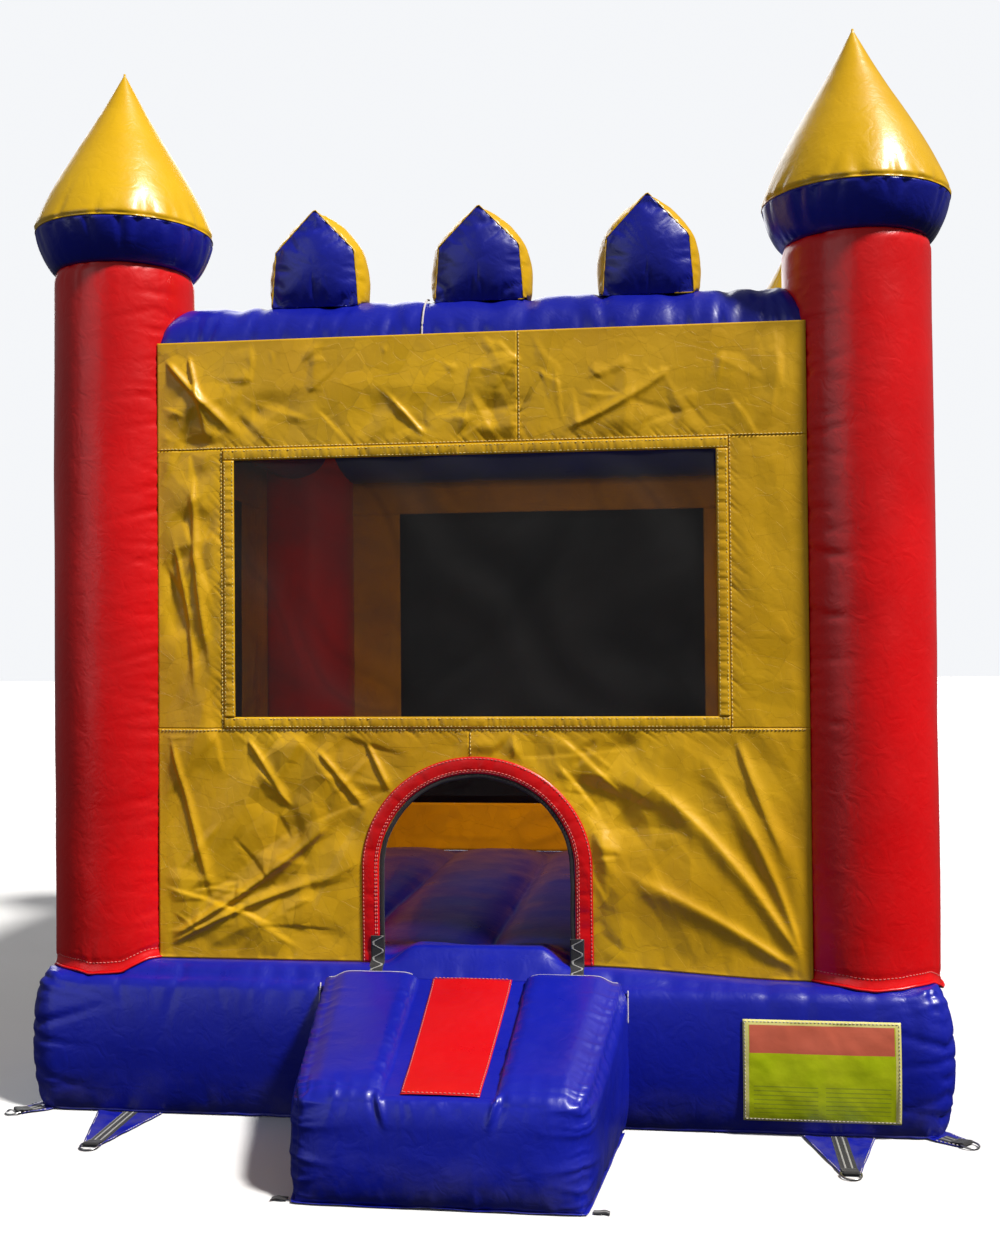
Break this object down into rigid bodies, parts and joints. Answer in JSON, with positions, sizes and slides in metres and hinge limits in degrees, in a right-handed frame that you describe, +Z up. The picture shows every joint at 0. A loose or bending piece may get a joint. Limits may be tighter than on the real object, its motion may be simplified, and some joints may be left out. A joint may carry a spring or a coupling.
{
  "type": "inflatable bounce house",
  "caption": "Square inflatable bounce house with a castle outline: round corner towers with cones, a front wall with an arched doorway and net window, and an inflated step.",
  "frame": {"origin": "on the ground, at the centre of the square base", "axes": "+Z up, -Y out of the doorway towards someone in front, +X to that person's right"},
  "size_m": [3.21, 4.181, 3.652],
  "materials": {
    "blue_vinyl": "glossy coated fabric",
    "red_vinyl": "glossy coated fabric",
    "yellow_vinyl": "glossy coated fabric",
    "inner_cloth": "plain coated fabric",
    "window_net": "knitted net",
    "black_webbing": "woven webbing with grey stripes",
    "zip_tape": "woven tape with moulded teeth",
    "steel": "galvanised wire",
    "zip_metal": "cast metal",
    "sign_sheet": "printed plastic sheet"
  },
  "bodies": {
    "root": {"anchor_patches": "blue_vinyl", "anchor_webbing": "black_webbing", "base_baffles": "inner_cloth", "base_shell": "blue_vinyl", "beam_front": "blue_vinyl", "beam_left": "blue_vinyl", "beam_rear": "blue_vinyl", "beam_right": "blue_vinyl", "collar_front_left": "blue_vinyl", "collar_front_right": "blue_vinyl", "collar_rear_left": "blue_vinyl", "collar_rear_right": "blue_vinyl", "column_front_left": "red_vinyl", "column_front_right": "red_vinyl", "column_rear_left": "red_vinyl", "column_rear_right": "red_vinyl", "cone_front_left": "yellow_vinyl", "cone_front_right": "yellow_vinyl", "cone_rear_left": "yellow_vinyl", "cone_rear_right": "yellow_vinyl", "door_binding": "black_webbing", "door_straps": "black_webbing", "door_trim": "red_vinyl", "front_wall_lower_left": "yellow_vinyl", "front_wall_lower_right": "yellow_vinyl", "front_wall_side_left": "yellow_vinyl", "front_wall_side_right": "yellow_vinyl", "front_wall_upper_left": "yellow_vinyl", "front_wall_upper_right": "yellow_vinyl", "front_window_border": "yellow_vinyl", "front_window_mesh": "window_net", "inflation_sleeve": "blue_vinyl", "left_wall_panels": "yellow_vinyl", "left_window_border": "yellow_vinyl", "left_window_mesh": "window_net", "merlon_gussets": "yellow_vinyl", "merlon_left": "blue_vinyl", "merlon_middle": "blue_vinyl", "merlon_right": "blue_vinyl", "rear_wall_panels": "yellow_vinyl", "rear_window_border": "yellow_vinyl", "rear_window_mesh": "window_net", "right_wall_panels": "yellow_vinyl", "right_window_border": "yellow_vinyl", "right_window_mesh": "window_net", "roof_sheet": "yellow_vinyl", "sign_panel": "sign_sheet", "sleeve_tie": "black_webbing", "step_baffles": "inner_cloth", "step_shell": "blue_vinyl", "step_tread_strip": "red_vinyl", "zip_tape": "zip_tape"},
    "ring_front_left": {"d_ring_front_left": "steel"},
    "ring_front_right": {"d_ring_front_right": "steel"},
    "ring_corner_front_left": {"d_ring_corner_front_left": "steel"},
    "ring_corner_front_right": {"d_ring_corner_front_right": "steel"},
    "ring_corner_rear_left": {"d_ring_corner_rear_left": "steel"},
    "ring_corner_rear_right": {"d_ring_corner_rear_right": "steel"},
    "zip_slider": {"zip_slider": "zip_metal"},
    "zip_pull": {"zip_pull": "zip_metal"}
  },
  "joints": [
    {"name": "ring_front_left_hinge", "type": "hinge", "parent": "root", "child": "ring_front_left", "pos_m": [-1.17, -1.845, 0.0075], "axis": [-1, 0, 0], "range_deg": [0, 150]},
    {"name": "ring_front_right_hinge", "type": "hinge", "parent": "root", "child": "ring_front_right", "pos_m": [1.17, -1.845, 0.0075], "axis": [-1, 0, 0], "range_deg": [0, 150]},
    {"name": "ring_corner_front_left_hinge", "type": "hinge", "parent": "root", "child": "ring_corner_front_left", "pos_m": [-1.55581, -1.55581, 0.0075], "axis": [-0.7071, 0.7071, 0], "range_deg": [0, 150]},
    {"name": "ring_corner_front_right_hinge", "type": "hinge", "parent": "root", "child": "ring_corner_front_right", "pos_m": [1.55581, -1.55581, 0.0075], "axis": [-0.7071, -0.7071, 0], "range_deg": [0, 150]},
    {"name": "ring_corner_rear_left_hinge", "type": "hinge", "parent": "root", "child": "ring_corner_rear_left", "pos_m": [-1.55581, 1.55581, 0.0075], "axis": [0.7071, 0.7071, 0], "range_deg": [0, 150]},
    {"name": "ring_corner_rear_right_hinge", "type": "hinge", "parent": "root", "child": "ring_corner_rear_right", "pos_m": [1.55581, 1.55581, 0.0075], "axis": [0.7071, -0.7071, 0], "range_deg": [0, 150]},
    {"name": "zip_slide", "type": "slide", "parent": "root", "child": "zip_slider", "axis": [1, 0, 0], "range_m": [0, 0.56]},
    {"name": "zip_pull_hinge", "type": "hinge", "parent": "zip_slider", "child": "zip_pull", "pos_m": [0.483, 1.536, 0.15], "axis": [0, 0, 1], "range_deg": [0, 165]}
  ]
}
